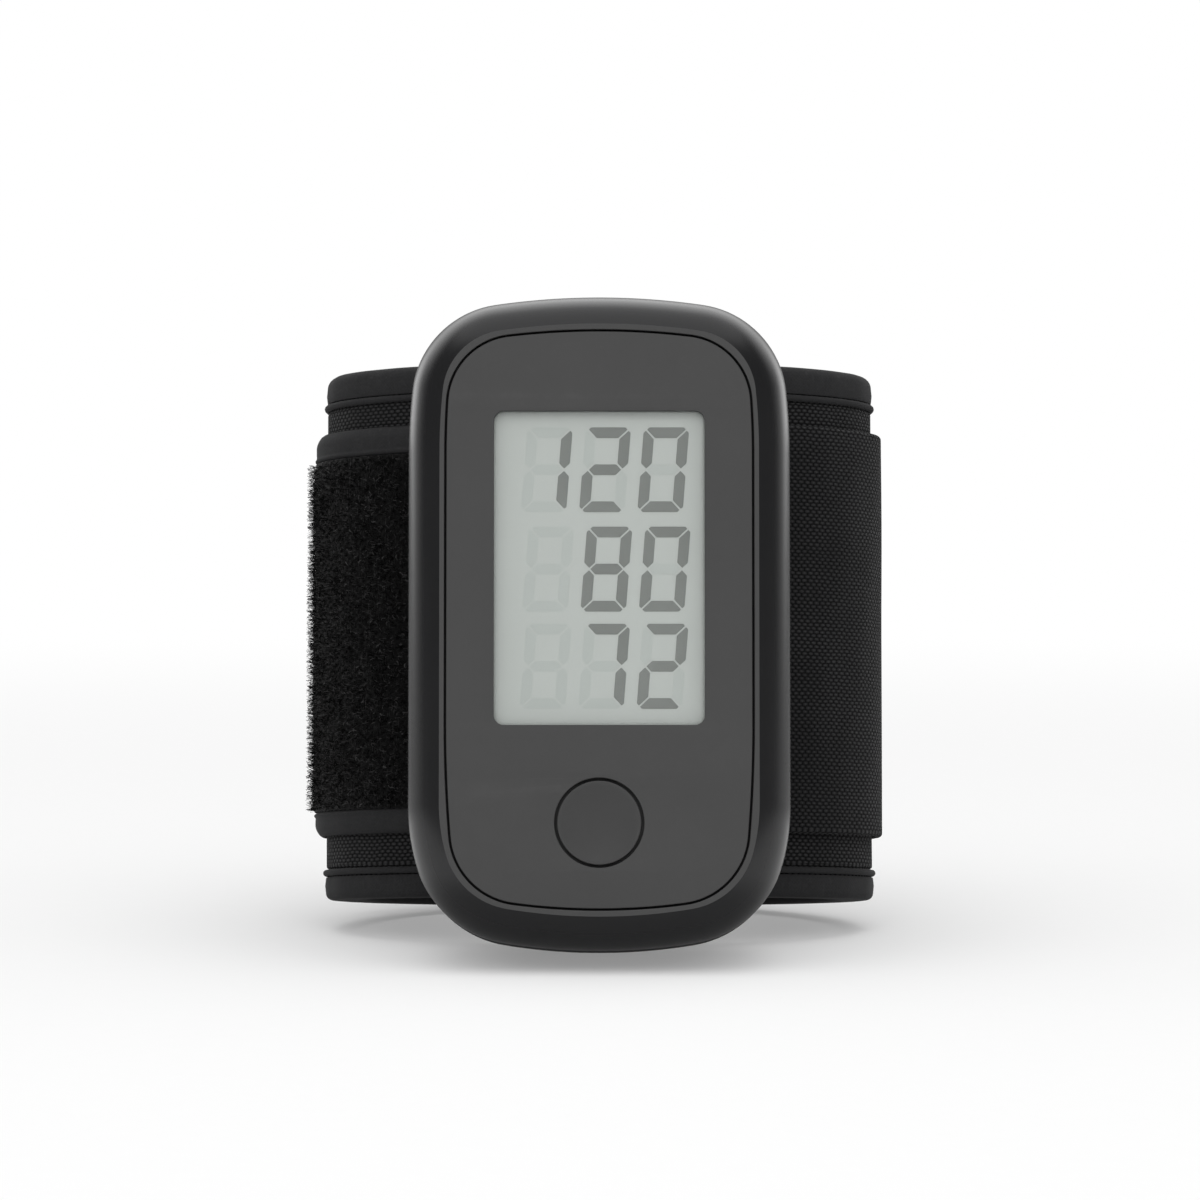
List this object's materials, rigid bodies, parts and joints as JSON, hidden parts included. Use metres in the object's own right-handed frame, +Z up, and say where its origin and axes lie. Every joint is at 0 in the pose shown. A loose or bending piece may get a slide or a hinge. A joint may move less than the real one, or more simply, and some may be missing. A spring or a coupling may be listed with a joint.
{
  "type": "wrist blood pressure monitor",
  "caption": "Portrait wrist monitor with a display window and a round button, leaning back on its oval hook-and-loop cuff.",
  "frame": {"origin": "middle of the footprint's bounding box, on the surface that it stands on", "axes": "+Z up, the display faces -Y and leans back, +X to the right as the display is read; the wrist passes along the leaning cuff axis"},
  "size_m": [0.0786, 0.0872, 0.0865],
  "materials": {
    "case": "satin moulded plastic, very dark grey",
    "panel": "fine matt mid-dark grey plastic",
    "lens": "clear polished window",
    "lcd": "pale grey-green liquid crystal glass",
    "white_plastic": "plain white moulding",
    "black_plastic": "plain black moulding",
    "board": "green solder resist",
    "steel": "plated steel",
    "cell": "plain printed sleeve",
    "silicone": "soft dark silicone",
    "weave": "fine black woven cloth",
    "binding": "smooth black binding tape",
    "pile": "black fuzzy loop pile",
    "film": "translucent bladder film"
  },
  "bodies": {
    "monitor": {"front_shell": "case", "front_panel": "panel", "display_lens": "lens", "lcd_front_glass": "lcd", "lcd_rear_glass": "lcd", "lcd_reflector": "white_plastic", "lcd_frame": "white_plastic", "lcd_connector_upper": "silicone", "lcd_connector_lower": "silicone", "switch_body": "black_plastic", "circuit_board": "board", "board_screw_1": "steel", "board_screw_2": "steel", "pressure_sensor": "black_plastic", "buzzer": "black_plastic", "rear_shell": "case", "case_screw_1": "steel", "case_screw_2": "steel", "case_screw_3": "steel", "case_screw_4": "steel", "battery_tray": "black_plastic", "battery_1": "cell", "battery_spring_1": "steel", "battery_contact_1": "steel", "battery_2": "cell", "battery_spring_2": "steel", "battery_contact_2": "steel", "pump_motor": "steel", "pump_head": "white_plastic", "release_valve": "black_plastic", "air_manifold": "white_plastic", "air_hose_pump": "silicone", "air_hose_sensor": "silicone", "saddle_plate": "case", "saddle_screw_1": "steel", "saddle_screw_2": "steel", "saddle_screw_3": "steel", "saddle_screw_4": "steel", "cuff_cover": "weave", "cuff_stiffener": "white_plastic", "air_bladder": "film", "cuff_lining": "weave", "cuff_binding_upper": "binding", "cuff_binding_lower": "binding", "cuff_piping_upper": "binding", "cuff_piping_lower": "binding", "wing_backing": "weave", "wing_binding_upper": "binding", "wing_binding_lower": "binding", "loop_pile_patch": "pile", "strap_fixed": "weave"},
    "start_button": {"start_button": "panel"},
    "switch_plunger": {"switch_plunger": "white_plastic"},
    "battery_door": {"battery_door": "case"},
    "strap_root": {"strap_tail_root": "weave"},
    "strap_middle": {"strap_tail_middle": "weave"},
    "strap_end": {"strap_tail_end": "weave", "hook_patch": "pile", "pull_tab": "silicone"}
  },
  "joints": [
    {"name": "button_press", "type": "slide", "parent": "monitor", "child": "start_button", "axis": [0, 0.9891, -0.1475], "range_m": [0, 0.0005], "stiffness_N_per_m": 1500, "springref_m": -0.0002},
    {"name": "plunger_press", "type": "slide", "parent": "monitor", "child": "switch_plunger", "axis": [0, 0.9891, -0.1475], "range_m": [0, 0.0006]},
    {"name": "battery_door_hinge", "type": "hinge", "parent": "monitor", "child": "battery_door", "pos_m": [0.02425, -0.0247, 0.01767], "axis": [0, 0.9891, -0.1475], "range_deg": [0, 95]},
    {"name": "strap_peel_root", "type": "hinge", "parent": "monitor", "child": "strap_root", "pos_m": [0.0199, 0.03556, 0.03568], "axis": [0, -0.1475, -0.9891], "range_deg": [0, 40]},
    {"name": "strap_peel_middle", "type": "hinge", "parent": "strap_root", "child": "strap_middle", "pos_m": [-0.0006, 0.03951, 0.0351], "axis": [0, -0.1475, -0.9891], "range_deg": [0, 40]},
    {"name": "strap_peel_end", "type": "hinge", "parent": "strap_middle", "child": "strap_end", "pos_m": [-0.02247, 0.03779, 0.03535], "axis": [0, -0.1475, -0.9891], "range_deg": [0, 40]}
  ],
  "couplings": [
    {"joint": "plunger_press", "follows": "button_press", "ratio": 1},
    {"joint": "strap_peel_middle", "follows": "strap_peel_root", "ratio": 1},
    {"joint": "strap_peel_end", "follows": "strap_peel_root", "ratio": 1}
  ]
}
